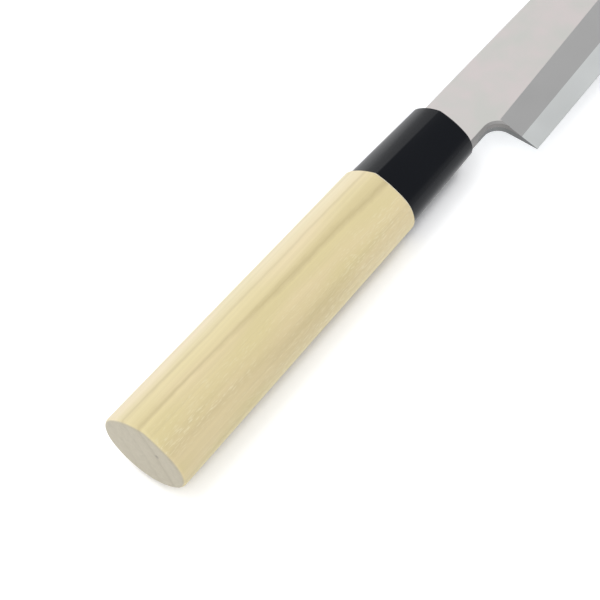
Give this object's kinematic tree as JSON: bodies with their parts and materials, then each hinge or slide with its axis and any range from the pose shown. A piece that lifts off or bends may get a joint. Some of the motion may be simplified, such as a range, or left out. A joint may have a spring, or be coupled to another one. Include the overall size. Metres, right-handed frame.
{
  "type": "yanagiba knife",
  "caption": "Right-handed single-bevel slicing knife: long narrow forge-welded blade with hollow-ground back, black ridged ferrule and pale ridged wooden grip on a hidden tang.",
  "frame": {"origin": "under the middle of the knife's bounding box, at the height of the lowest line of the grip", "axes": "+X from the butt to the tip along the handle's axis, +Y from the edge to the spine, +Z out of the bevelled face"},
  "size_m": [0.3839, 0.0373, 0.022],
  "materials": {
    "soft_iron": "satin on the flat, hazy on the bevel",
    "hard_steel": "fine stone polish",
    "black_resin": "polished",
    "pale_wood": "sanded, unvarnished",
    "filler": "cast"
  },
  "bodies": {
    "root": {"soft_iron_blade": "soft_iron", "hard_steel_edge": "hard_steel", "ferrule": "black_resin", "wood_grip": "pale_wood", "tang_bedding": "filler"}
  },
  "joints": []
}
